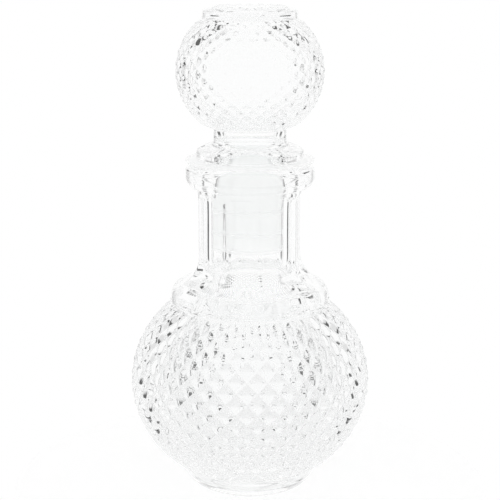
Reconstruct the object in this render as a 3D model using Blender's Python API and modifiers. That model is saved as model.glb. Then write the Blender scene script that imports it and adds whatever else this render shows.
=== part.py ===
"""Pressed-glass decanter with a hollow globe stopper and a plastic seal.

The bottle stands on z = 0 with its axis on +Z and a flat of its neck facing -Y. Lengths are in metres.
Three pieces: the bottle, the stopper that lifts out of it, and the soft seal pushed over the stopper's plug.
"""
import math

import bmesh
import bpy
from mathutils import Matrix

# Bottle, outside
LIP_HEIGHT = 0.1243
COLLAR_RADIUS = 0.0240
COLLAR_HEIGHT = 0.0093
COLLAR_ROUND = 0.0039
LIP_ROUND = 0.0008
NECK_RADIUS = 0.0196
NECK_FILLET = 0.0003
FLUTES = 8
FLUTE_HEAD_DROP = 0.0049
FLUTE_HEAD_SWEEP = 0.0053
FLUTE_FOOT_RISE = 0.0047
FLUTE_TOE = 0.0005
SHOULDER_RADIUS = 0.02985
SHOULDER_WIDTH = 0.00785
SHOULDER_RISE = 0.0073
RING_BAND = 0.0007
RING_UNDERCUT = 0.0009
RING_PROUD = 0.0006
BODY_RADIUS = 0.0450
BODY_HALF_HEIGHT = 0.0401
FOOT_RADIUS = 0.0245
FOOT_HEIGHT = 0.0080
FOOT_STEP = 0.0006
HEEL_WIDTH = 0.0083
STANDING_WIDTH = 0.0025
PUNT_DEPTH = 0.0016

# Bottle, inside
BORE_RADIUS = 0.0136
MOUTH_CHAMFER = 0.0006
BODY_WALL = 0.0055
FLOOR_THICKNESS = 0.0071
INNER_FLARE_TURN = math.radians(60)

# Diamonds pressed into the bottle and the globe
BODY_DIAMONDS = 36
BODY_DIAMOND_ROWS = 19
BODY_DIAMOND_SLOPE = math.radians(22)
GLOBE_DIAMONDS = 30
GLOBE_DIAMOND_ROWS = 19
GLOBE_DIAMOND_SLOPE = math.radians(18)

# Stopper
FLANGE_RADIUS = 0.0197
FLANGE_EDGE = 0.0022
FLANGE_ROUND = 0.0006
FLANGE_RISE = 0.0026
STEM_RADIUS = 0.0135
STEM_LENGTH = 0.0069
STEM_HEAD_FLARE = 0.0009
STEM_FOOT_FLARE = 0.0012
GLOBE_RADIUS = 0.0273
GLOBE_HALF_HEIGHT = 0.0256
GLOBE_FOOT_STEP = 0.0024
RIM_RADIUS = 0.0174
RIM_HEIGHT = 0.0031
RIM_CHAMFER = 0.0006
RIM_PROUD = 0.0005
PLUG_LENGTH = 0.0332
PLUG_ROUND = 0.0010
PLUG_WALL = 0.0028
STEM_WALL = 0.0033
GLOBE_WALL = 0.0038
GLOBE_FLOOR = 0.0019
CROWN_THICKNESS = 0.0030

# Rosette on top of the stopper
PETALS = 18
ROSETTE_INSET = 0.0033
ROSETTE_HEIGHT = 0.0011
PETAL_NOTCH = 0.0012

# Seal
SEAL_WALL = 0.0008
SEAL_LAP = 0.0006
BRIM_PROUD = 0.0041
BRIM_THICKNESS = 0.0009
FIN_REACH = 0.0011
FIN_THICKNESS = 0.0008
FIN_RISES = (0.0143, 0.0061, 0.0)

# Gap left between pieces that touch
FIT_GAP = 0.0003

BODY_COLUMNS = 2 * BODY_DIAMONDS
GLOBE_COLUMNS = 2 * GLOBE_DIAMONDS
BORE_STEPS = 36
HALF_FLUTE = math.pi / FLUTES
OVERCUT = 0.002

# Sizes that follow from the ones above
BODY_TOP_RADIUS = SHOULDER_RADIUS - RING_PROUD
BODY_FOOT_RADIUS = FOOT_RADIUS + FOOT_STEP
BODY_CENTRE_HEIGHT = FOOT_HEIGHT + BODY_HALF_HEIGHT * math.sqrt(1 - (BODY_FOOT_RADIUS / BODY_RADIUS) ** 2)
BODY_TOP_HEIGHT = BODY_CENTRE_HEIGHT + BODY_HALF_HEIGHT * math.sqrt(1 - (BODY_TOP_RADIUS / BODY_RADIUS) ** 2)
STANDING_RADIUS = FOOT_RADIUS - HEEL_WIDTH
SHOULDER_HEIGHT = BODY_TOP_HEIGHT + RING_UNDERCUT + RING_BAND
FLAT_REACH = NECK_RADIUS * math.cos(HALF_FLUTE)
FLARE_SWEEP = SHOULDER_RADIUS - FLUTE_TOE - FLAT_REACH
FLARE_HEIGHT = SHOULDER_HEIGHT + FLUTE_FOOT_RISE + FLARE_SWEEP
PLUG_RADIUS = BORE_RADIUS - FIN_REACH - SEAL_WALL - FIT_GAP
GLOBE_FOOT_RADIUS = STEM_RADIUS + STEM_HEAD_FLARE + GLOBE_FOOT_STEP
ROSETTE_RADIUS = RIM_RADIUS - ROSETTE_INSET
BRIM_RADIUS = FLANGE_RADIUS + BRIM_PROUD
SEAL_LENGTH = PLUG_LENGTH - BRIM_THICKNESS - FIT_GAP + SEAL_LAP


def clear_scene():
    for old in list(bpy.data.objects):
        bpy.data.objects.remove(old, do_unlink=True)


def new_collection(name):
    made = bpy.data.collections.new(name)
    bpy.context.scene.collection.children.link(made)
    return made


def new_material(name, colour, roughness, transmission, refraction):
    made = bpy.data.materials.new(name)
    made.use_nodes = True
    shader = made.node_tree.nodes["Principled BSDF"]
    shader.inputs["Base Color"].default_value = (*colour, 1.0)
    shader.inputs["Roughness"].default_value = roughness
    shader.inputs["Metallic"].default_value = 0.0
    shader.inputs["Transmission Weight"].default_value = transmission
    shader.inputs["IOR"].default_value = refraction
    made.diffuse_color = (*colour, 1.0)
    return made


def arc(centre, across, up, start, end, count):
    """Points of an ellipse's arc in the radius and height plane, from one angle in degrees to the other."""
    radius, height = centre
    angles = [math.radians(start + (end - start) * i / (count - 1)) for i in range(count)]
    return [(radius + across * math.cos(a), height + up * math.sin(a)) for a in angles]


def spheroid_rows(radius, half_height, centre_height, top_radius, foot_radius, rows):
    """Evenly spaced points down a spheroid's side, each with its outward direction.

    They run from where the side has top_radius, above the widest place, to where it has foot_radius, below it.
    """
    start = math.asin(top_radius / radius)
    end = math.pi - math.asin(foot_radius / radius)
    steps = 2000
    angles = [start + (end - start) * i / steps for i in range(steps + 1)]
    travelled = [0.0]
    for a, b in zip(angles, angles[1:]):
        middle = (a + b) / 2
        travelled.append(travelled[-1] + math.hypot(radius * math.cos(middle), half_height * math.sin(middle)) * (b - a))
    points = []
    for row in range(rows + 1):
        wanted = travelled[-1] * row / rows
        index = min(range(steps + 1), key=lambda i: abs(travelled[i] - wanted))
        angle = angles[index]
        outward = (math.sin(angle) / radius, math.cos(angle) / half_height)
        size = math.hypot(*outward)
        points.append({
            "radius": radius * math.sin(angle),
            "height": centre_height + half_height * math.cos(angle),
            "outward": (outward[0] / size, outward[1] / size),
        })
    return points


def diamond_depth(point, spacing, columns, slope):
    """Depth of the valley beside a diamond whose facets have the given slope."""
    half_width = 2 * math.pi * point["radius"] / columns
    return math.tan(slope) * half_width * spacing / math.hypot(half_width, spacing)


def pressed_rows(rows, columns, slope):
    """Adds to each row the depth of its valleys, and marks the first and last rows as all valley."""
    for i, point in enumerate(rows):
        near = rows[i + 1] if i + 1 < len(rows) else rows[i - 1]
        spacing = math.hypot(near["radius"] - point["radius"], near["height"] - point["height"])
        point["depth"] = diamond_depth(point, spacing, columns, slope)
        point["all_valley"] = i in (0, len(rows) - 1)
    return rows


def valley_point(point):
    return (point["radius"] - point["depth"] * point["outward"][0],
            point["height"] - point["depth"] * point["outward"][1])


def turned(name, outline, steps, collection):
    """A turned solid: the outline runs down the outer side at +X, from top to bottom."""
    mesh = bpy.data.meshes.new(name)
    mesh.from_pydata([(r, 0.0, z) for r, z in outline], [(i, i + 1) for i in range(len(outline) - 1)], [])
    made = bpy.data.objects.new(name, mesh)
    collection.objects.link(made)
    screw = made.modifiers.new("Turn", "SCREW")
    screw.axis = "Z"
    screw.angle = 2 * math.pi
    screw.steps = steps
    screw.render_steps = steps
    screw.use_merge_vertices = True
    screw.merge_threshold = 0.00001
    screw.use_normal_calculate = False
    return made


def settle(made):
    """Replaces an object's mesh by the one that its modifiers give."""
    bpy.context.view_layer.update()
    evaluated = made.evaluated_get(bpy.context.evaluated_depsgraph_get())
    mesh = bpy.data.meshes.new_from_object(evaluated)
    made.modifiers.clear()
    made.data = mesh
    return made


def hollow_out(made, cutter):
    cutter.hide_render = True
    cutter.display_type = "WIRE"
    cut = made.modifiers.new("Hollow", "BOOLEAN")
    cut.operation = "DIFFERENCE"
    cut.solver = "EXACT"
    cut.object = cutter


def press_diamonds(mesh, rows, columns):
    """Pushes every second point of the rows in, so that each quad folds along its valley."""
    bm = bmesh.new()
    bm.from_mesh(mesh)
    valleys = set()
    in_rows = {}
    for vert in bm.verts:
        radius = math.hypot(vert.co.x, vert.co.y)
        for i, point in enumerate(rows):
            if abs(vert.co.z - point["height"]) < 0.00002 and abs(radius - point["radius"]) < 0.00002:
                in_rows[vert] = i
    for vert, i in in_rows.items():
        turn = math.atan2(vert.co.y, vert.co.x)
        column = round(turn / (2 * math.pi / columns))
        odd = (i + column) % 2 == 1
        if odd or rows[i]["all_valley"]:
            radius, height = valley_point(rows[i])
            vert.co = (radius * math.cos(turn), radius * math.sin(turn), height)
        if odd:
            valleys.add(vert)
    for face in [f for f in bm.faces if all(v in in_rows for v in f.verts)]:
        low = [v for v in face.verts if v in valleys]
        if len(low) == 2 and len(face.verts) == 4:
            bmesh.utils.face_split(face, low[0], low[1])
    bm.to_mesh(mesh)
    bm.free()


def finish(made, material):
    made.data.materials.clear()
    made.data.materials.append(material)
    made.data.shade_smooth()
    made.data.set_sharp_from_angle(angle=math.radians(25))


def flat_reach(height):
    """How far from the axis a neck flat lies at a height: straight, swept out at its head and at its foot."""
    head = LIP_HEIGHT - COLLAR_HEIGHT - FLUTE_HEAD_DROP
    if height > head:
        climb = min(height - head, FLUTE_HEAD_SWEEP)
        return FLAT_REACH + FLUTE_HEAD_SWEEP - math.sqrt(FLUTE_HEAD_SWEEP ** 2 - climb ** 2)
    if height < FLARE_HEIGHT:
        drop = min(FLARE_HEIGHT - height, FLARE_SWEEP)
        return FLAT_REACH + FLARE_SWEEP - math.sqrt(FLARE_SWEEP ** 2 - drop ** 2)
    return FLAT_REACH


def shoulder_reach(height):
    """Radius of the rounded shoulder between the ring and the flutes."""
    share = min((height - SHOULDER_HEIGHT) / SHOULDER_RISE, 1.0)
    return SHOULDER_RADIUS - SHOULDER_WIDTH + SHOULDER_WIDTH * math.sqrt(1 - share ** 2)


def flute_columns():
    """Angles between a flat's middle line and the columns of points across half of it."""
    step = 2 * math.pi / BODY_COLUMNS
    count = BODY_COLUMNS // FLUTES // 2 + 1
    return [HALF_FLUTE - step * i for i in range(count)]


def flute_head_heights():
    """Heights at which the flat meets the round neck on each column, which draws the arch at its head."""
    head = LIP_HEIGHT - COLLAR_HEIGHT - FLUTE_HEAD_DROP
    heights = []
    for angle in flute_columns():
        sunk = NECK_RADIUS * math.cos(angle) - FLAT_REACH
        heights.append(head + math.sqrt(FLUTE_HEAD_SWEEP ** 2 - (FLUTE_HEAD_SWEEP - sunk) ** 2))
    return heights


def flute_foot_heights():
    """Heights at which the flat meets the rounded shoulder on each column, which draws the arch at its foot."""
    heights = []
    for angle in flute_columns():
        low = max(SHOULDER_HEIGHT, FLARE_HEIGHT - FLARE_SWEEP)
        high = SHOULDER_HEIGHT + SHOULDER_RISE
        for _ in range(40):
            middle = (low + high) / 2
            if flat_reach(middle) / math.cos(angle) > shoulder_reach(middle):
                low = middle
            else:
                high = middle
        heights.append(middle)
    return heights


def body_rows():
    rows = spheroid_rows(BODY_RADIUS, BODY_HALF_HEIGHT, BODY_CENTRE_HEIGHT,
                         BODY_TOP_RADIUS, BODY_FOOT_RADIUS, BODY_DIAMOND_ROWS)
    return pressed_rows(rows, BODY_COLUMNS, BODY_DIAMOND_SLOPE)


def bottle_outline(rows):
    collar_foot = LIP_HEIGHT - COLLAR_HEIGHT
    outline = [(0.0, LIP_HEIGHT)]
    outline += arc((COLLAR_RADIUS - LIP_ROUND, LIP_HEIGHT - LIP_ROUND), LIP_ROUND, LIP_ROUND, 90, 0, 3)
    outline += arc((COLLAR_RADIUS - COLLAR_ROUND, collar_foot + COLLAR_ROUND), COLLAR_ROUND, COLLAR_ROUND, 0, -90, 5)
    outline += arc((NECK_RADIUS + NECK_FILLET, collar_foot - NECK_FILLET), NECK_FILLET, NECK_FILLET, 90, 180, 3)
    outline += [(NECK_RADIUS, height) for height in reversed(flute_head_heights())]
    foot_heights = flute_foot_heights()
    flare_turn = math.degrees(math.asin((FLARE_HEIGHT - foot_heights[0]) / FLARE_SWEEP))
    flare = arc((FLAT_REACH + FLARE_SWEEP, FLARE_HEIGHT), FLARE_SWEEP, FLARE_SWEEP, 180, 180 + flare_turn, 6)
    outline += [(reach / math.cos(HALF_FLUTE), height) for reach, height in flare[:-1]]
    outline += [(shoulder_reach(height), height) for height in foot_heights]
    outline += arc((SHOULDER_RADIUS - SHOULDER_WIDTH, SHOULDER_HEIGHT), SHOULDER_WIDTH, SHOULDER_RISE, 24, 0, 3)
    outline += [(SHOULDER_RADIUS, SHOULDER_HEIGHT - RING_BAND)]
    outline += [(row["radius"], row["height"]) for row in rows]
    outline += arc((STANDING_RADIUS, FOOT_HEIGHT), FOOT_RADIUS - STANDING_RADIUS, FOOT_HEIGHT, 0, -90, 6)
    punt_radius = STANDING_RADIUS - STANDING_WIDTH
    outline += arc((0.0, 0.0), punt_radius, PUNT_DEPTH, 0, 90, 4)
    return outline


def press_flutes(mesh):
    """Draws the points of the neck and shoulder in to the flats of the flutes."""
    top = LIP_HEIGHT - COLLAR_HEIGHT - NECK_FILLET / 2
    for vert in mesh.vertices:
        if not SHOULDER_HEIGHT < vert.co.z < top:
            continue
        radius = math.hypot(vert.co.x, vert.co.y)
        turn = math.atan2(vert.co.y, vert.co.x)
        across = (turn % (2 * HALF_FLUTE)) - HALF_FLUTE
        reach = min(radius, flat_reach(vert.co.z) / math.cos(across))
        vert.co.x *= reach / radius
        vert.co.y *= reach / radius


def cavity_outline():
    """The bottle's inside: the bore, its flare parallel to the neck's, and the smooth globe below."""
    inner_radius = BODY_RADIUS - BODY_WALL
    flare_centre = FLAT_REACH + FLARE_SWEEP
    flare_radius = flare_centre - BORE_RADIUS
    outline = [(0.0, LIP_HEIGHT + OVERCUT),
               (BORE_RADIUS + MOUTH_CHAMFER + OVERCUT, LIP_HEIGHT + OVERCUT),
               (BORE_RADIUS, LIP_HEIGHT - MOUTH_CHAMFER)]
    turn = math.degrees(INNER_FLARE_TURN)
    flare = arc((flare_centre, FLARE_HEIGHT), flare_radius, flare_radius, 180, 180 + turn, 6)
    outline += flare
    meet_radius, meet_height = flare[-1]
    ratio = meet_radius / inner_radius
    side = math.sqrt(1 - ratio ** 2)
    half_height = (meet_height - FLOOR_THICKNESS) / (1 + side)
    centre = FLOOR_THICKNESS + half_height
    start = math.degrees(math.asin(side))
    outline += arc((0.0, centre), inner_radius, half_height, start, -90, 15)[1:]
    return outline


def make_bottle(collection, cutters, glass):
    rows = body_rows()
    bottle = settle(turned("bottle", bottle_outline(rows), BODY_COLUMNS, collection))
    press_flutes(bottle.data)
    press_diamonds(bottle.data, rows, BODY_COLUMNS)
    bottle.data.transform(Matrix.Rotation(HALF_FLUTE, 4, "Z"))
    hollow_out(bottle, turned("bottle_cavity", cavity_outline(), BORE_STEPS, cutters))
    finish(bottle, glass)
    return bottle


def globe_centre():
    """Height of the globe's centre over the flange's underside, where it sits on the stem."""
    drop = GLOBE_HALF_HEIGHT * math.sqrt(1 - (GLOBE_FOOT_RADIUS / GLOBE_RADIUS) ** 2)
    return FLANGE_EDGE + FLANGE_RISE + STEM_LENGTH + drop


def globe_rows():
    rows = spheroid_rows(GLOBE_RADIUS, GLOBE_HALF_HEIGHT, globe_centre(),
                         RIM_RADIUS + RIM_PROUD, GLOBE_FOOT_RADIUS, GLOBE_DIAMOND_ROWS)
    return pressed_rows(rows, GLOBE_COLUMNS, GLOBE_DIAMOND_SLOPE)


def crown_height(rows):
    return rows[0]["height"] + RIM_HEIGHT


def stopper_outline(rows):
    """The stopper from its flat crown down to its plug, with z = 0 at the flange's underside."""
    crown = crown_height(rows)
    stem_foot = FLANGE_EDGE + FLANGE_RISE
    stem_head = stem_foot + STEM_LENGTH
    half_stem = STEM_LENGTH / 3
    outline = [(0.0, crown), (RIM_RADIUS - RIM_CHAMFER, crown), (RIM_RADIUS, crown - RIM_CHAMFER),
               (RIM_RADIUS, crown - RIM_HEIGHT + RIM_CHAMFER / 2)]
    outline += [(row["radius"], row["height"]) for row in rows]
    outline += arc((STEM_RADIUS + STEM_HEAD_FLARE, stem_head - half_stem), STEM_HEAD_FLARE, half_stem, 100, 180, 4)
    outline += arc((STEM_RADIUS + STEM_FOOT_FLARE, stem_foot + half_stem), STEM_FOOT_FLARE, half_stem, 180, 270, 4)
    dome = STEM_RADIUS + STEM_FOOT_FLARE
    outline += arc((dome, FLANGE_EDGE), FLANGE_RADIUS - dome, FLANGE_RISE, 70, 0, 4)
    outline += arc((FLANGE_RADIUS - FLANGE_ROUND, FLANGE_ROUND), FLANGE_ROUND, FLANGE_ROUND, 0, -90, 3)
    outline += [(PLUG_RADIUS, 0.0)]
    outline += arc((PLUG_RADIUS - PLUG_ROUND, PLUG_ROUND - PLUG_LENGTH), PLUG_ROUND, PLUG_ROUND, 0, -90, 3)
    outline += [(0.0, -PLUG_LENGTH)]
    return outline


def stopper_cavity_outline(rows):
    """The blown hollow: the globe's inside, the stem's bore and the plug's narrower bore, open below."""
    inner_radius = GLOBE_RADIUS - GLOBE_WALL
    stem_bore = STEM_RADIUS - STEM_WALL
    plug_bore = PLUG_RADIUS - PLUG_WALL
    top = crown_height(rows) - CROWN_THICKNESS
    stem_head = FLANGE_EDGE + FLANGE_RISE + STEM_LENGTH
    foot = stem_head + GLOBE_FLOOR
    side = math.sqrt(1 - (stem_bore / inner_radius) ** 2)
    half_height = (top - foot) / (1 + side)
    end = -math.degrees(math.asin(side))
    outline = arc((0.0, top - half_height), inner_radius, half_height, 90, end, 14)
    outline += [(stem_bore, FLANGE_EDGE + FLANGE_RISE),
                ((stem_bore + plug_bore) / 2, FLANGE_EDGE + FLANGE_RISE / 4),
                (plug_bore, 0.0), (plug_bore, -PLUG_LENGTH - OVERCUT), (0.0, -PLUG_LENGTH - OVERCUT)]
    return outline


def rosette_outline(crown):
    """A low dished disc with a raised edge, sunk a little into the crown."""
    return [(0.0, crown + ROSETTE_HEIGHT / 3),
            (ROSETTE_RADIUS * 0.45, crown + ROSETTE_HEIGHT / 2),
            (ROSETTE_RADIUS - PETAL_NOTCH, crown + ROSETTE_HEIGHT),
            (ROSETTE_RADIUS, crown - ROSETTE_HEIGHT / 4),
            (0.0, crown - ROSETTE_HEIGHT)]


def notch_petals(mesh):
    """Draws every second point of the rosette's edge in, which leaves a petal between two notches."""
    step = math.pi / PETALS
    for vert in mesh.vertices:
        radius = math.hypot(vert.co.x, vert.co.y)
        if radius > ROSETTE_RADIUS / 2 and round(math.atan2(vert.co.y, vert.co.x) / step) % 2 == 1:
            inner = (radius - PETAL_NOTCH) / radius
            vert.co.x *= inner
            vert.co.y *= inner


def make_stopper(collection, cutters, glass, seat):
    rows = globe_rows()
    stopper = settle(turned("stopper", stopper_outline(rows), GLOBE_COLUMNS, collection))
    press_diamonds(stopper.data, rows, GLOBE_COLUMNS)
    rosette = settle(turned("rosette", rosette_outline(crown_height(rows)), 2 * PETALS, cutters))
    notch_petals(rosette.data)
    rosette.hide_render = True
    rosette.display_type = "WIRE"
    joined = stopper.modifiers.new("Rosette", "BOOLEAN")
    joined.operation = "UNION"
    joined.solver = "EXACT"
    joined.object = rosette
    cavity = turned("stopper_cavity", stopper_cavity_outline(rows), BORE_STEPS, cutters)
    hollow_out(stopper, cavity)
    for piece in (stopper, rosette, cavity):
        piece.location.z = seat
    finish(stopper, glass)
    return stopper


def seal_outline():
    """Section of the seal, with z = 0 at its brim's underside: down the outside, and up the inside."""
    inner = PLUG_RADIUS + FIT_GAP
    tube = inner + SEAL_WALL
    fin = BORE_RADIUS - FIT_GAP
    outline = [(inner, BRIM_THICKNESS), (BRIM_RADIUS, BRIM_THICKNESS), (BRIM_RADIUS, 0.0), (tube, 0.0)]
    for rise in FIN_RISES:
        foot = rise - SEAL_LENGTH
        outline += [(tube, foot + 2 * FIN_THICKNESS), (fin, foot + 1.5 * FIN_THICKNESS),
                    (fin, foot + FIN_THICKNESS), (tube, foot)]
    outline += [(inner, -SEAL_LENGTH), (inner, BRIM_THICKNESS)]
    return outline


def make_seal(collection, plastic, seat):
    seal = turned("seal_sleeve", seal_outline(), BORE_STEPS, collection)
    settle(seal)
    bm = bmesh.new()
    bm.from_mesh(seal.data)
    bmesh.ops.remove_doubles(bm, verts=bm.verts, dist=0.00001)
    bm.to_mesh(seal.data)
    bm.free()
    seal.location.z = seat
    finish(seal, plastic)
    return seal


def main():
    clear_scene()
    pieces = new_collection("globe_decanter")
    cutters = new_collection("cutters")
    bottle_glass = new_material("bottle_glass", (0.95, 0.97, 0.97), 0.02, 1.0, 1.52)
    stopper_glass = new_material("stopper_glass", (0.95, 0.97, 0.97), 0.02, 1.0, 1.52)
    milky_plastic = new_material("milky_plastic", (0.84, 0.85, 0.84), 0.45, 0.35, 1.5)
    make_bottle(pieces, cutters, bottle_glass)
    seal_seat = LIP_HEIGHT + FIT_GAP
    make_seal(pieces, milky_plastic, seal_seat)
    make_stopper(pieces, cutters, stopper_glass, seal_seat + BRIM_THICKNESS + FIT_GAP)


main()
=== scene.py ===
"""A small pressed-glass decanter with a globe stopper, standing in a white studio.

The sizes in each section are in millimetres, and each mesh is brought to metres when its piece is made.
"""
import math

import bmesh
import bpy
from mathutils import Matrix, Vector


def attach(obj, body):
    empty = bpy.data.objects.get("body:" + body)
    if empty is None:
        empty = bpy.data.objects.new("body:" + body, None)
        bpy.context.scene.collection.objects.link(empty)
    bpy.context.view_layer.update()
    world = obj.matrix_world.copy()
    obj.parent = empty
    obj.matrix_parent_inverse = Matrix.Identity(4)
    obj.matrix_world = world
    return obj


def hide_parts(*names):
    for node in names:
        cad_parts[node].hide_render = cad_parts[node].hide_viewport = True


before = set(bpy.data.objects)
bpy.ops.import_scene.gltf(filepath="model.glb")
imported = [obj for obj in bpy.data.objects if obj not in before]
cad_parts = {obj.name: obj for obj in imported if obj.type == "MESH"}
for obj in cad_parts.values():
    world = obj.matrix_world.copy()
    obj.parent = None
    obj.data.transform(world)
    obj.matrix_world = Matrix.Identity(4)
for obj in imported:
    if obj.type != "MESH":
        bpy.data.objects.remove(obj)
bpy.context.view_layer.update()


# Bottle: one piece of clear pressed glass, hollow and open at the mouth. A heavy collar tops an eight-sided
# fluted neck; the flutes run out on a rounded shoulder, and below its ring the round body is all small
# diamonds. It stands on a narrow ring round a shallow hollow.
LIP_HEIGHT = 124.3
COLLAR_RADIUS = 24.0
COLLAR_FOOT = 115.0
COLLAR_ROUND = 3.9
LIP_EDGE = 3.4
MOUTH_EDGE = 0.8
BORE_RADIUS = 13.6
NECK_RADIUS = 19.6
NECK_FILLET = 0.3
FLUTES = 8
RIDGE_SOFT = 0.6
FLUTE_HEAD_HEIGHT = 110.1
FLUTE_HEAD_SWEEP = 5.3
FLARE_HEIGHT = 89.21
FLARE_SWEEP = 11.24
SHOULDER_RADIUS = 29.85
SHOULDER_HEIGHT = 73.27
SHOULDER_WIDTH = 7.85
SHOULDER_RISE = 7.3
RING_BAND = 0.7
BODY_RADIUS = 45.0
BODY_HALF_HEIGHT = 40.1
BODY_CENTRE_HEIGHT = 41.28
BODY_TOP_RADIUS = 29.25
BODY_FOOT_RADIUS = 25.1
BODY_DIAMONDS = 36
BODY_DIAMOND_ROWS = 19
FOOT_RADIUS = 24.5
FOOT_HEIGHT = 8.0
STANDING_RADIUS = 16.2
PUNT_RADIUS = 13.7
PUNT_DEPTH = 1.6
CAVITY_RADIUS = 39.5
CAVITY_FLOOR = 7.1
BORE_FLARE_HEIGHT = 80.0
BORE_FLARE_ACROSS = 12.0
BORE_FLARE_UP = 8.0
# Half a diamond is FINE steps of the mesh wide and high. The slope is that of its faces, the ridge power and
# the peak rounding say how crisp its edges and its peak are, and the pillow how domed its faces are.
FINE = 5
BODY_SLOPE = math.radians(24)
RIDGE_POWER = 8
PEAK_ROUND = 0.12
PILLOW = 0.6
BODY_COLUMNS = 2 * BODY_DIAMONDS * FINE
HALF_FLUTE = math.pi / FLUTES
FLAT_REACH = NECK_RADIUS * math.cos(HALF_FLUTE)
CREASE = math.radians(32)
GLASS_WAVE = 0.12
GLASS_HAZE = 0.02
BOTTLE_WAVE_SIZE = 55.0
BOTTLE_LOW_TINT = (0.976, 0.979, 0.979)
BOTTLE_HIGH_TINT = (0.99, 0.992, 0.992)
BOTTLE_TINT_HEIGHTS = (60, 78)


def arc(centre, across, up, start, end, count):
    """Points of an ellipse's arc in the radius and height plane, from one angle in degrees to the other."""
    angles = [math.radians(start + (end - start) * i / (count - 1)) for i in range(count)]
    return [(centre[0] + across * math.cos(a), centre[1] + up * math.sin(a)) for a in angles]


def rounded(centre, radius, start, end, count):
    """Points of a round edge: a circle's arc."""
    return arc(centre, radius, radius, start, end, count)


def line(first, last, count):
    """Points of a straight run, without its first end."""
    return [(first[0] + (last[0] - first[0]) * i / count, first[1] + (last[1] - first[1]) * i / count)
            for i in range(1, count + 1)]


def globe_side(radius, half_height, centre_height, top_radius, foot_radius, rows):
    """Evenly spaced points down a globe's side: from top_radius, past its widest place, to foot_radius."""
    start = math.asin(top_radius / radius)
    end = math.pi - math.asin(foot_radius / radius)
    count = 4000
    angles = [start + (end - start) * i / count for i in range(count + 1)]
    run = [0.0]
    for a, b in zip(angles, angles[1:]):
        middle = (a + b) / 2
        run.append(run[-1] + math.hypot(radius * math.cos(middle), half_height * math.sin(middle)) * (b - a))
    side, i = [], 0
    for row in range(rows + 1):
        while i < count and run[i] < run[-1] * row / rows:
            i += 1
        side.append((radius * math.sin(angles[i]), centre_height + half_height * math.cos(angles[i])))
    return side


def turned_skin(outline, columns):
    """Spins an outline of (radius, height) points into a closed skin: one slice, then that slice all round."""
    slices = 12
    skin = bmesh.new()
    row_layer = skin.verts.layers.int.new("row")
    points = []
    for row, (radius, height) in enumerate(outline):
        point = skin.verts.new((radius, 0.0, height))
        point[row_layer] = row
        points.append(point)
    edges = [skin.edges.new(pair) for pair in zip(points, points[1:])]
    bmesh.ops.spin(skin, geom=points + edges, cent=(0, 0, 0), axis=(0, 0, 1), dvec=(0, 0, 0),
                   angle=2 * math.pi / slices, steps=columns // slices, use_duplicate=False)
    bmesh.ops.spin(skin, geom=skin.verts[:] + skin.edges[:] + skin.faces[:], cent=(0, 0, 0),
                   axis=(0, 0, 1), dvec=(0, 0, 0), angle=2 * math.pi * (slices - 1) / slices,
                   steps=slices - 1, use_duplicate=True)
    bmesh.ops.remove_doubles(skin, verts=skin.verts, dist=0.0001)
    return skin


def press_diamonds(skin, outline, first, last, diamonds, slope):
    """Presses a net of small diamonds into the rows of a skin from first to last.

    Their domed faces slope by the given angle, rise to softened peaks and meet in sharp valleys.
    """
    row_layer = skin.verts.layers.int["row"]
    rows = {}
    for row in range(first, last + 1):
        before, after = outline[max(row - 1, first)], outline[min(row + 1, last)]
        along = Vector((after[0] - before[0], after[1] - before[1]))
        half_height = along.length / (min(row + 1, last) - max(row - 1, first)) * FINE
        half_width = math.pi * outline[row][0] / diamonds
        depth = math.tan(slope) * half_width * half_height / math.hypot(half_width, half_height)
        inward = Vector((along.y, -along.x)).normalized() * depth
        rows[row] = outline[row][0], outline[row][1], inward.x, inward.y
    column_turn = math.pi / diamonds / FINE
    full = math.sqrt(1 + PEAK_ROUND ** 2) - PEAK_ROUND
    valley = set()
    for point in skin.verts:
        row = point[row_layer]
        if not first <= row <= last:
            continue
        turn = math.atan2(point.co.y, point.co.x)
        across = turn / column_turn / FINE
        down = (row - first) / FINE
        a = abs((across + down + 1) % 2 - 1)
        b = abs((across - down + 1) % 2 - 1)
        edge = max(0.0, 1 - down, 1 - (last - row) / FINE)
        sharp = (a ** RIDGE_POWER + b ** RIDGE_POWER) ** (1 / RIDGE_POWER) if a + b else 0.0
        soft = (math.sqrt(min(sharp, 1.0) ** 2 + PEAK_ROUND ** 2) - PEAK_ROUND) / full
        domed = 1 - (1 - a * a) * (1 - b * b)
        sunk = max(soft * (1 - PILLOW) + domed * PILLOW, edge)
        radius, height, in_across, in_up = rows[row]
        radius += in_across * sunk
        point.co = (radius * math.cos(turn), radius * math.sin(turn), height + in_up * sunk)
        if max(a, b) > 0.999:
            valley.add(point)
    for face in skin.faces[:]:
        corners = face.verts[:]
        for one, two in ((0, 2), (1, 3)):
            if len(corners) == 4 and corners[one] in valley and corners[two] in valley:
                bmesh.utils.face_split(face, corners[one], corners[two])
                break


def flat_reach(height):
    """How far from the axis a flat of the neck lies: straight, and swept out at its head and its foot."""
    if height > FLUTE_HEAD_HEIGHT:
        climb = min(height - FLUTE_HEAD_HEIGHT, FLUTE_HEAD_SWEEP)
        return FLAT_REACH + FLUTE_HEAD_SWEEP - math.sqrt(FLUTE_HEAD_SWEEP ** 2 - climb ** 2)
    drop = min(max(FLARE_HEIGHT - height, 0.0), FLARE_SWEEP)
    return FLAT_REACH + FLARE_SWEEP - math.sqrt(FLARE_SWEEP ** 2 - drop ** 2)


def shoulder_reach(height):
    """Radius of the rounded shoulder between the ring and the flutes."""
    share = min((height - SHOULDER_HEIGHT) / SHOULDER_RISE, 1.0)
    return SHOULDER_RADIUS - SHOULDER_WIDTH + SHOULDER_WIDTH * math.sqrt(1 - share ** 2)


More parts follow.
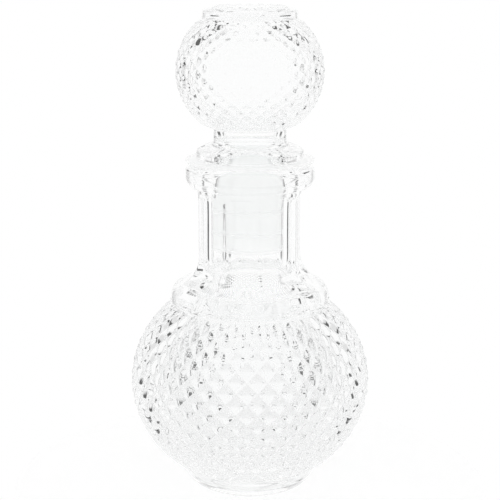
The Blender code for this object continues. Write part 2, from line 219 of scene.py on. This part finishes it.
def neck_side():
    """The neck and shoulder over their ridges, from the collar's fillet down to the ring."""
    # Close rows round the flutes' heads, a few down the straight, then rows for the flare and the shoulder.
    heights = [COLLAR_FOOT - NECK_FILLET - 0.25 * i for i in range(16)]
    heights += [FLUTE_HEAD_HEIGHT - (FLUTE_HEAD_HEIGHT - FLARE_HEIGHT) * i / 10 for i in range(11)]
    heights += [FLARE_HEIGHT - FLARE_SWEEP * math.sin(math.radians(5 * i)) for i in range(1, 11)]
    lowest = heights[-1]
    heights += [lowest - (lowest - SHOULDER_HEIGHT) * (i / 22) ** 0.8 for i in range(1, 23)]
    side = []
    for height in sorted(set(round(h, 4) for h in heights), reverse=True):
        ridge = flat_reach(height) / math.cos(HALF_FLUTE)
        rounded = NECK_RADIUS if height > FLARE_HEIGHT else shoulder_reach(height)
        if SHOULDER_HEIGHT + 0.9 * SHOULDER_RISE < height <= FLARE_HEIGHT:
            rounded = ridge
        side.append((min(ridge, rounded), height))
    return side


def press_flutes(skin):
    """Draws the neck's and the shoulder's skin in to the flats of the flutes, with softly rounded ridges."""
    for point in skin.verts:
        if not SHOULDER_HEIGHT < point.co.z < COLLAR_FOOT - NECK_FILLET / 2:
            continue
        radius = math.hypot(point.co.x, point.co.y)
        across = math.atan2(point.co.y, point.co.x) % (2 * HALF_FLUTE) - HALF_FLUTE
        flat = flat_reach(point.co.z)
        near, far = flat / math.cos(across), flat / math.cos(2 * HALF_FLUTE - abs(across))
        soft = max(RIDGE_SOFT - abs(near - far), 0.0) / RIDGE_SOFT
        reach = min(radius, min(near, far) - soft ** 2 * RIDGE_SOFT / 4)
        point.co.x *= reach / radius
        point.co.y *= reach / radius


def finish_piece(skin, name, material, turn=0.0):
    """Closes a skin's work: turned about the axis, brought to metres, faces out, and linked as an object."""
    bmesh.ops.recalc_face_normals(skin, faces=skin.faces)
    bmesh.ops.rotate(skin, verts=skin.verts, cent=(0, 0, 0), matrix=Matrix.Rotation(turn, 3, "Z"))
    bmesh.ops.scale(skin, vec=(0.001, 0.001, 0.001), verts=skin.verts)
    mesh = bpy.data.meshes.new(name)
    skin.to_mesh(mesh)
    skin.free()
    mesh.shade_smooth()
    mesh.set_sharp_from_angle(angle=CREASE)
    mesh.materials.append(material)
    piece = bpy.data.objects.new(name, mesh)
    bpy.context.scene.collection.objects.link(piece)
    return piece


def glass_skin_group():
    """Ripple and haze of the glass: a slow wave in its skin, and faint smears in the roughness."""
    group = bpy.data.node_groups.new("glass_skin", "ShaderNodeTree")
    face = group.interface
    face.new_socket(name="Vector", in_out="INPUT", socket_type="NodeSocketVector")
    for name in ("Wave Size", "Wave", "Haze"):
        face.new_socket(name=name, in_out="INPUT", socket_type="NodeSocketFloat")
    face.new_socket(name="Roughness", in_out="OUTPUT", socket_type="NodeSocketFloat")
    face.new_socket(name="Normal", in_out="OUTPUT", socket_type="NodeSocketVector")
    nodes, links = group.nodes, group.links
    given, out = nodes.new("NodeGroupInput"), nodes.new("NodeGroupOutput")
    wave = nodes.new("ShaderNodeTexNoise")
    wave.inputs["Detail"].default_value = 2.0
    links.new(given.outputs["Vector"], wave.inputs["Vector"])
    links.new(given.outputs["Wave Size"], wave.inputs["Scale"])
    bump = nodes.new("ShaderNodeBump")
    bump.inputs["Distance"].default_value = 0.001
    links.new(wave.outputs["Fac"], bump.inputs["Height"])
    links.new(given.outputs["Wave"], bump.inputs["Strength"])
    smear = nodes.new("ShaderNodeTexNoise")
    smear.inputs["Scale"].default_value = 140.0
    smear.inputs["Detail"].default_value = 4.0
    links.new(given.outputs["Vector"], smear.inputs["Vector"])
    amount = nodes.new("ShaderNodeMath")
    amount.operation = "MULTIPLY"
    links.new(smear.outputs["Fac"], amount.inputs[0])
    links.new(given.outputs["Haze"], amount.inputs[1])
    links.new(amount.outputs[0], out.inputs["Roughness"])
    links.new(bump.outputs["Normal"], out.inputs["Normal"])
    return group


def clear_glass(name, wave_size, low_colour, high_colour, heights):
    """Clear glass whose tint changes with height, from the low colour below the first height to the high colour
    above the second.
    """
    material = bpy.data.materials.new(name)
    material.use_nodes = True
    nodes, links = material.node_tree.nodes, material.node_tree.links
    shader = nodes["Principled BSDF"]
    shader.inputs["IOR"].default_value = 1.5
    shader.inputs["Transmission Weight"].default_value = 1.0
    place = nodes.new("ShaderNodeTexCoord")
    skin = nodes.new("ShaderNodeGroup")
    skin.node_tree = bpy.data.node_groups.get("glass_skin") or glass_skin_group()
    skin.inputs["Wave Size"].default_value = wave_size
    skin.inputs["Wave"].default_value = GLASS_WAVE
    skin.inputs["Haze"].default_value = GLASS_HAZE
    links.new(place.outputs["Object"], skin.inputs["Vector"])
    parts = nodes.new("ShaderNodeSeparateXYZ")
    links.new(place.outputs["Object"], parts.inputs[0])
    rise = nodes.new("ShaderNodeMapRange")
    rise.interpolation_type = "SMOOTHSTEP"
    rise.inputs["From Min"].default_value = heights[0] / 1000
    rise.inputs["From Max"].default_value = heights[1] / 1000
    links.new(parts.outputs["Z"], rise.inputs["Value"])
    tint = nodes.new("ShaderNodeValToRGB")
    tint.color_ramp.elements[0].color = (*low_colour, 1)
    tint.color_ramp.elements[1].color = (*high_colour, 1)
    links.new(rise.outputs["Result"], tint.inputs["Fac"])
    links.new(tint.outputs["Color"], shader.inputs["Base Color"])
    links.new(skin.outputs["Roughness"], shader.inputs["Roughness"])
    links.new(skin.outputs["Normal"], shader.inputs["Normal"])
    return material


inner_flare = arc((BORE_RADIUS + BORE_FLARE_ACROSS, BORE_FLARE_HEIGHT), BORE_FLARE_ACROSS, BORE_FLARE_UP,
                  240, 180, 24)
meet_radius, meet_height = inner_flare[0]
side_share = math.sqrt(1 - (meet_radius / CAVITY_RADIUS) ** 2)
cavity_half_height = (meet_height - CAVITY_FLOOR) / (1 + side_share)
cavity = arc((0.0, CAVITY_FLOOR + cavity_half_height), CAVITY_RADIUS, cavity_half_height,
             -90, math.degrees(math.asin(side_share)), 40)
body_side = globe_side(BODY_RADIUS, BODY_HALF_HEIGHT, BODY_CENTRE_HEIGHT, BODY_TOP_RADIUS, BODY_FOOT_RADIUS,
                       BODY_DIAMOND_ROWS * FINE)
bottle_outline = cavity[:-1] + inner_flare + line(inner_flare[-1], (BORE_RADIUS, LIP_HEIGHT - MOUTH_EDGE), 3)
bottle_outline += rounded((BORE_RADIUS + MOUTH_EDGE, LIP_HEIGHT - MOUTH_EDGE), MOUTH_EDGE, 180, 90, 5)[1:]
bottle_outline += rounded((COLLAR_RADIUS - LIP_EDGE, LIP_HEIGHT - LIP_EDGE), LIP_EDGE, 90, 0, 6)
bottle_outline += rounded((COLLAR_RADIUS - COLLAR_ROUND, COLLAR_FOOT + COLLAR_ROUND), COLLAR_ROUND, 0, -90, 12)
bottle_outline += rounded((NECK_RADIUS + NECK_FILLET, COLLAR_FOOT - NECK_FILLET), NECK_FILLET, 90, 180, 6)[:-1]
bottle_outline += neck_side()
bottle_outline += [(SHOULDER_RADIUS, SHOULDER_HEIGHT - RING_BAND)]
first_row = len(bottle_outline)
bottle_outline += body_side
last_row = len(bottle_outline) - 1
bottle_outline += arc((STANDING_RADIUS, FOOT_HEIGHT), FOOT_RADIUS - STANDING_RADIUS, FOOT_HEIGHT, 0, -90, 14)
bottle_outline += arc((0.0, 0.0), PUNT_RADIUS, PUNT_DEPTH, 0, 90, 10)

bottle_skin = turned_skin(bottle_outline, BODY_COLUMNS)
press_flutes(bottle_skin)
press_diamonds(bottle_skin, bottle_outline, first_row, last_row, BODY_DIAMONDS, BODY_SLOPE)
bottle_glass = clear_glass("pressed_clear_glass", BOTTLE_WAVE_SIZE, BOTTLE_LOW_TINT, BOTTLE_HIGH_TINT,
                           BOTTLE_TINT_HEIGHTS)
bottle = finish_piece(bottle_skin, "bottle_glass", bottle_glass, HALF_FLUTE)
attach(bottle, "vessel")
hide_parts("bottle")


# Seal: a thin moulded sleeve of milky plastic, pushed over the stopper's plug. Three soft fins and a low ring
# close the bore, and a flat brim lies between the flange and the lip.
SEAL_INNER = 11.7
SEAL_OUTER = 12.5
SEAL_FOOT = 92.0
SEAL_SEAT = 124.6
BRIM_RADIUS = 23.8
BRIM_THICKNESS = 0.9
SEAL_EDGE = 0.3
RING_RADIUS = 13.1
RING_TOP = 122.7
RING_CREST = (122.0, 121.3)
RING_TOE = 119.6
FIN_RADIUS = 13.3
FIN_THICKNESS = 0.8
FIN_RISES = (14.3, 6.1, 0.0)
SEAL_COLUMNS = 144
SEAL_COVER = (0.5, 0.35)

seal_outline = [(SEAL_INNER, SEAL_SEAT + BRIM_THICKNESS)]
seal_outline += rounded((BRIM_RADIUS - SEAL_EDGE, SEAL_SEAT + BRIM_THICKNESS - SEAL_EDGE), SEAL_EDGE, 90, 0, 4)
seal_outline += rounded((BRIM_RADIUS - SEAL_EDGE, SEAL_SEAT + SEAL_EDGE), SEAL_EDGE, 0, -90, 4)
seal_outline += [(SEAL_OUTER, SEAL_SEAT), (SEAL_OUTER, RING_TOP), (RING_RADIUS, RING_CREST[0]),
                 (RING_RADIUS, RING_CREST[1]), (SEAL_OUTER, RING_TOE)]
for rise in FIN_RISES:
    foot = SEAL_FOOT + rise
    seal_outline += [(SEAL_OUTER, foot + 2 * FIN_THICKNESS), (FIN_RADIUS - 0.2, foot + 1.6 * FIN_THICKNESS)]
    seal_outline += rounded((FIN_RADIUS - SEAL_EDGE, foot + 1.2 * FIN_THICKNESS), SEAL_EDGE, 60, -60, 4)
    seal_outline += [(SEAL_OUTER, foot + 0.2)]
seal_outline += [(SEAL_OUTER, SEAL_FOOT), (SEAL_INNER, SEAL_FOOT), seal_outline[0]]


def milky_plastic(name):
    """Thin polyethylene: pale, cloudy, with faint flow marks; light comes through it, most at the brim."""
    material = bpy.data.materials.new(name)
    material.use_nodes = True
    nodes, links = material.node_tree.nodes, material.node_tree.links
    shader = nodes["Principled BSDF"]
    shader.inputs["Transmission Weight"].default_value = 0.05
    shader.inputs["IOR"].default_value = 1.3
    place = nodes.new("ShaderNodeTexCoord")
    cloud = nodes.new("ShaderNodeTexNoise")
    cloud.inputs["Scale"].default_value = 180.0
    cloud.inputs["Detail"].default_value = 5.0
    links.new(place.outputs["Object"], cloud.inputs["Vector"])
    tint = nodes.new("ShaderNodeValToRGB")
    tint.color_ramp.elements[0].color = (0.975, 0.98, 0.98, 1)
    tint.color_ramp.elements[1].color = (0.995, 0.998, 0.995, 1)
    links.new(cloud.outputs["Fac"], tint.inputs["Fac"])
    links.new(tint.outputs["Color"], shader.inputs["Base Color"])
    parts = nodes.new("ShaderNodeSeparateXYZ")
    links.new(place.outputs["Object"], parts.inputs[0])
    cover = nodes.new("ShaderNodeMapRange")
    cover.inputs["From Min"].default_value = (SEAL_SEAT - 1.0) / 1000
    cover.inputs["From Max"].default_value = (SEAL_SEAT - 0.2) / 1000
    cover.inputs["To Min"].default_value = SEAL_COVER[0]
    cover.inputs["To Max"].default_value = SEAL_COVER[1]
    links.new(parts.outputs["Z"], cover.inputs["Value"])
    links.new(cover.outputs["Result"], shader.inputs["Alpha"])
    rough = nodes.new("ShaderNodeMapRange")
    rough.inputs["To Min"].default_value = 0.4
    rough.inputs["To Max"].default_value = 0.6
    links.new(cloud.outputs["Fac"], rough.inputs["Value"])
    links.new(rough.outputs["Result"], shader.inputs["Roughness"])
    bump = nodes.new("ShaderNodeBump")
    bump.inputs["Strength"].default_value = 0.1
    bump.inputs["Distance"].default_value = 0.0005
    links.new(cloud.outputs["Fac"], bump.inputs["Height"])
    links.new(bump.outputs["Normal"], shader.inputs["Normal"])
    return material


seal_skin = turned_skin(seal_outline, SEAL_COLUMNS)
seal = finish_piece(seal_skin, "seal_plastic", milky_plastic("milky_polyethylene"))
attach(seal, "seal")
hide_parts("seal_sleeve")


# Stopper: one piece of clear blown glass, hollow and open at the plug's foot. The globe carries finer diamonds,
# under a flat crown with a rim and a petalled rosette. A waisted stem and a domed flange lead to the plug.
FLANGE_SEAT = 125.8
FLANGE_RADIUS = 19.7
FLANGE_EDGE = 2.2
FLANGE_ROUND = 0.6
FLANGE_RISE = 2.6
STEM_RADIUS = 13.5
STEM_HEAD = 137.5
STEM_FOOT_FLARE = 1.2
STEM_HEAD_FLARE = 0.9
GLOBE_RADIUS = 27.3
GLOBE_HALF_HEIGHT = 25.6
GLOBE_TOP_RADIUS = 17.9
GLOBE_FOOT_RADIUS = 16.8
GLOBE_DIAMONDS = 30
GLOBE_DIAMOND_ROWS = 19
GLOBE_SLOPE = math.radians(16)
GLOBE_COLUMNS = 2 * GLOBE_DIAMONDS * FINE
RIM_RADIUS = 17.4
RIM_HEIGHT = 3.1
RIM_EDGE = 1.4
PETALS = 18
ROSETTE_RADIUS = 14.1
ROSETTE_HEIGHT = 1.1
ROSETTE_ROLL = 2.2
ROSETTE_ROWS = 12
NOTCH_IN = 1.0
NOTCH_DOWN = 0.75
NOTCH_POWER = 0.8
PLUG_RADIUS = 11.4
PLUG_FOOT = 92.6
PLUG_ROUND = 1.0
PLUG_BORE = 8.6
PLUG_CHAMFER = 0.3
STEM_BORE = 10.2
HOLLOW_RADIUS = 23.5
HOLLOW_TOP = 177.1
HOLLOW_FOOT = 139.4
STOPPER_WAVE_SIZE = 70.0
STOPPER_LOW_TINT = (0.996, 0.998, 0.998)
STOPPER_HIGH_TINT = (0.988, 0.99, 0.99)
STOPPER_TINT_HEIGHTS = (125, 140)

globe_centre = STEM_HEAD + GLOBE_HALF_HEIGHT * math.sqrt(1 - (GLOBE_FOOT_RADIUS / GLOBE_RADIUS) ** 2)
globe_outline = globe_side(GLOBE_RADIUS, GLOBE_HALF_HEIGHT, globe_centre, GLOBE_TOP_RADIUS, GLOBE_FOOT_RADIUS,
                           GLOBE_DIAMOND_ROWS * FINE)
crown = globe_outline[0][1] + RIM_HEIGHT
hollow_share = math.sqrt(1 - (STEM_BORE / HOLLOW_RADIUS) ** 2)
hollow_half_height = (HOLLOW_TOP - HOLLOW_FOOT) / (1 + hollow_share)
dome_radius = STEM_RADIUS + STEM_FOOT_FLARE
dome_width = FLANGE_RADIUS - dome_radius
stem_foot = FLANGE_SEAT + FLANGE_EDGE + FLANGE_RISE
third = (STEM_HEAD - stem_foot) / 3

stopper_outline = [(0.0, crown + ROSETTE_HEIGHT * 0.3), (ROSETTE_RADIUS * 0.4, crown + ROSETTE_HEIGHT * 0.4),
                   (ROSETTE_RADIUS * 0.7, crown + ROSETTE_HEIGHT * 0.6)]
rosette_rows = range(len(stopper_outline), len(stopper_outline) + ROSETTE_ROWS)
stopper_outline += arc((ROSETTE_RADIUS - ROSETTE_ROLL, crown), ROSETTE_ROLL, ROSETTE_HEIGHT,
                       120, 0, ROSETTE_ROWS)
stopper_outline += [(ROSETTE_RADIUS + 0.5, crown)]
stopper_outline += rounded((RIM_RADIUS - RIM_EDGE, crown - RIM_EDGE), RIM_EDGE, 90, 0, 5)
stopper_outline += line((RIM_RADIUS, crown - RIM_EDGE), (RIM_RADIUS, crown - RIM_HEIGHT + 0.5), 3)
first_globe_row = len(stopper_outline)
stopper_outline += globe_outline
last_globe_row = len(stopper_outline) - 1
stopper_outline += arc((STEM_RADIUS + STEM_HEAD_FLARE, STEM_HEAD - third), STEM_HEAD_FLARE, third,
                       100, 180, 8)
stopper_outline += arc((dome_radius, stem_foot + third), STEM_FOOT_FLARE, third, 180, 268, 8)
stopper_outline += arc((dome_radius, FLANGE_SEAT + FLANGE_EDGE), dome_width, FLANGE_RISE, 85, 0, 10)
stopper_outline += rounded((FLANGE_RADIUS - FLANGE_ROUND, FLANGE_SEAT + FLANGE_ROUND), FLANGE_ROUND, 0, -90, 5)
stopper_outline += [(PLUG_RADIUS, FLANGE_SEAT)]
stopper_outline += rounded((PLUG_RADIUS - PLUG_ROUND, PLUG_FOOT + PLUG_ROUND), PLUG_ROUND, 0, -90, 6)
stopper_outline += [(PLUG_BORE + PLUG_CHAMFER, PLUG_FOOT), (PLUG_BORE, PLUG_FOOT + PLUG_CHAMFER),
                    (PLUG_BORE, FLANGE_SEAT)]
stopper_outline += [((PLUG_BORE + STEM_BORE) / 2, FLANGE_SEAT + FLANGE_RISE / 4 + FLANGE_EDGE)]
stopper_outline += [(STEM_BORE, stem_foot)]
stopper_outline += arc((0.0, HOLLOW_TOP - hollow_half_height), HOLLOW_RADIUS, hollow_half_height,
                       -math.degrees(math.asin(hollow_share)), 90, 40)

stopper_skin = turned_skin(stopper_outline, GLOBE_COLUMNS)
press_diamonds(stopper_skin, stopper_outline, first_globe_row, last_globe_row, GLOBE_DIAMONDS, GLOBE_SLOPE)
row_layer = stopper_skin.verts.layers.int["row"]
for point in stopper_skin.verts:
    if point[row_layer] in rosette_rows:
        turn = math.atan2(point.co.y, point.co.x)
        notch = 1 - abs(math.cos(turn * PETALS / 2)) ** NOTCH_POWER
        radius = math.hypot(point.co.x, point.co.y)
        inner = (radius - NOTCH_IN * notch) / radius
        point.co.x *= inner
        point.co.y *= inner
        point.co.z -= NOTCH_DOWN * notch * (point.co.z - crown)
stopper_glass = clear_glass("blown_clear_glass", STOPPER_WAVE_SIZE, STOPPER_LOW_TINT, STOPPER_HIGH_TINT,
                            STOPPER_TINT_HEIGHTS)
stopper = finish_piece(stopper_skin, "stopper_glass", stopper_glass)
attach(stopper, "globe_stopper")
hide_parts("stopper")


# Floor: a matt white board that the decanter stands on. Seen straight or mirrored it is as white as the room,
# apart from the object's own soft shadow, and through glass it is a little darker, a painted shade.
FLOOR_RADIUS = 90.0
FLOOR_COLOUR = 0.3
FLOOR_WHITE = 0.715
PAINTED_SHADE_THROUGH_GLASS = 0.12
floor_mesh = bpy.data.meshes.new("white_board")
board = bmesh.new()
bmesh.ops.create_circle(board, cap_ends=True, segments=96, radius=FLOOR_RADIUS / 1000)
board.to_mesh(floor_mesh)
board.free()
floor = bpy.data.objects.new("white_board", floor_mesh)
bpy.context.scene.collection.objects.link(floor)
board_paint = bpy.data.materials.new("white_board")
board_paint.use_nodes = True
nodes, links = board_paint.node_tree.nodes, board_paint.node_tree.links
shader = nodes["Principled BSDF"]
shader.inputs["Base Color"].default_value = (FLOOR_COLOUR, FLOOR_COLOUR, FLOOR_COLOUR, 1)
shader.inputs["Roughness"].default_value = 0.9
shader.inputs["Specular IOR Level"].default_value = 0.0
shader.inputs["Emission Color"].default_value = (1, 1, 1, 1)
path = nodes.new("ShaderNodeLightPath")
seen = nodes.new("ShaderNodeMath")
seen.operation = "MAXIMUM"
links.new(path.outputs["Is Camera Ray"], seen.inputs[0])
links.new(path.outputs["Is Glossy Ray"], seen.inputs[1])
through = nodes.new("ShaderNodeMath")
through.operation = "MAXIMUM"
links.new(seen.outputs[0], through.inputs[0])
links.new(path.outputs["Is Transmission Ray"], through.inputs[1])
glow = nodes.new("ShaderNodeMath")
glow.operation = "MULTIPLY"
glow.inputs[1].default_value = FLOOR_WHITE
# Seen through glass the board glows less by this share: painted shade.
shade = nodes.new("ShaderNodeMath")
shade.operation = "MULTIPLY"
shade.inputs[1].default_value = PAINTED_SHADE_THROUGH_GLASS
links.new(path.outputs["Is Transmission Ray"], shade.inputs[0])
rest = nodes.new("ShaderNodeMath")
rest.operation = "SUBTRACT"
links.new(through.outputs[0], rest.inputs[0])
links.new(shade.outputs[0], rest.inputs[1])
links.new(rest.outputs[0], glow.inputs[0])
links.new(glow.outputs[0], shader.inputs["Emission Strength"])
floor_mesh.materials.append(board_paint)


# Camera: a long lens that looks down on the decanter from a little above the stopper, turned slightly to the
# right of the front flute.
CAMERA_DISTANCE = 546.0
CAMERA_HEIGHT = 215.2
CAMERA_TURN = math.radians(8.9)
CAMERA_TILT = math.radians(12.83)
FOCAL_LENGTH = 108.0
SENSOR_WIDTH = 36.0
lens = bpy.data.cameras.new("camera")
lens.lens = FOCAL_LENGTH
lens.sensor_width = SENSOR_WIDTH
lens.clip_start = 0.01
camera = bpy.data.objects.new("camera", lens)
camera.location = (CAMERA_DISTANCE * math.sin(CAMERA_TURN) / 1000,
                   -CAMERA_DISTANCE * math.cos(CAMERA_TURN) / 1000, CAMERA_HEIGHT / 1000)
camera.rotation_euler = (math.pi / 2 - CAMERA_TILT, 0.0, CAMERA_TURN)
bpy.context.scene.collection.objects.link(camera)
bpy.context.scene.camera = camera
bpy.context.scene.view_settings.view_transform = "Standard"


# Room: a white tent all round, evenly lit. Behind the decanter the dark room shows through two openings at
# each side, one above the other, with a white bar between. Their edges are angles in degrees from straight
# ahead or from level, and each edge fades from its first angle to its second.
LEFT_GAP = (26, 29), (45, 51)
RIGHT_GAP = (28, 31), (42, 48)
GAP_TOP = (48, 58)
BAR = (0, 8), (21, 27)
BAR_WHITE = 0.75
GAP_FOOT = (-26, -18)
GAP_DEPTH = 0.95
world = bpy.data.worlds.new("white_room")
world.use_nodes = True
bpy.context.scene.world = world
nodes, links = world.node_tree.nodes, world.node_tree.links
towards = nodes.new("ShaderNodeTexCoord")


def step(operation, first, second):
    """One step of the reckoning of the room's light, on sockets or plain numbers."""
    made = nodes.new("ShaderNodeMath")
    made.operation = operation
    for socket, value in zip(made.inputs, (first, second)):
        if isinstance(value, (int, float)):
            socket.default_value = value
        else:
            links.new(value, socket)
    return made.outputs[0]


def ramp(value, low, high):
    """0 below low, 1 above high, and a smooth climb between."""
    made = nodes.new("ShaderNodeMapRange")
    made.interpolation_type = "SMOOTHSTEP"
    made.inputs["From Min"].default_value = low
    made.inputs["From Max"].default_value = high
    links.new(value, made.inputs["Value"])
    return made.outputs["Result"]


turned = nodes.new("ShaderNodeMapping")
turned.vector_type = "POINT"
turned.inputs["Rotation"].default_value = (0, 0, -CAMERA_TURN)
links.new(towards.outputs["Generated"], turned.inputs["Vector"])
parts = nodes.new("ShaderNodeSeparateXYZ")
links.new(turned.outputs["Vector"], parts.inputs[0])
sideways = step("MULTIPLY", step("ARCTAN2", parts.outputs["X"], parts.outputs["Y"]), 180 / math.pi)
upward = step("MULTIPLY", step("ARCSINE", parts.outputs["Z"], 0), 180 / math.pi)
leftward = step("MULTIPLY", sideways, -1)
right_gap = step("SUBTRACT", ramp(sideways, *RIGHT_GAP[0]), ramp(sideways, *RIGHT_GAP[1]))
left_gap = step("SUBTRACT", ramp(leftward, *LEFT_GAP[0]), ramp(leftward, *LEFT_GAP[1]))
gap = step("MULTIPLY", step("ADD", right_gap, left_gap), step("SUBTRACT", 1, ramp(upward, *GAP_TOP)))
gap = step("MULTIPLY", gap, ramp(upward, *GAP_FOOT))
bar = step("SUBTRACT", ramp(upward, *BAR[0]), ramp(upward, *BAR[1]))
gap = step("MULTIPLY", gap, step("SUBTRACT", 1, step("MULTIPLY", bar, BAR_WHITE)))
path = nodes.new("ShaderNodeLightPath")
gap = step("MULTIPLY", gap, step("SUBTRACT", 1, path.outputs["Is Camera Ray"]))
room = step("SUBTRACT", 1, step("MULTIPLY", gap, GAP_DEPTH))
nodes["Background"].inputs["Color"].default_value = (1, 1, 1, 1)
links.new(room, nodes["Background"].inputs["Strength"])
# Light goes through many walls of glass here, so it is followed for long.
for bounce in ("max_bounces", "transmission_bounces", "glossy_bounces"):
    setattr(bpy.context.scene.cycles, bounce, 48)
bpy.context.scene.cycles.diffuse_bounces = 12
bpy.context.scene.cycles.blur_glossy = 0.0
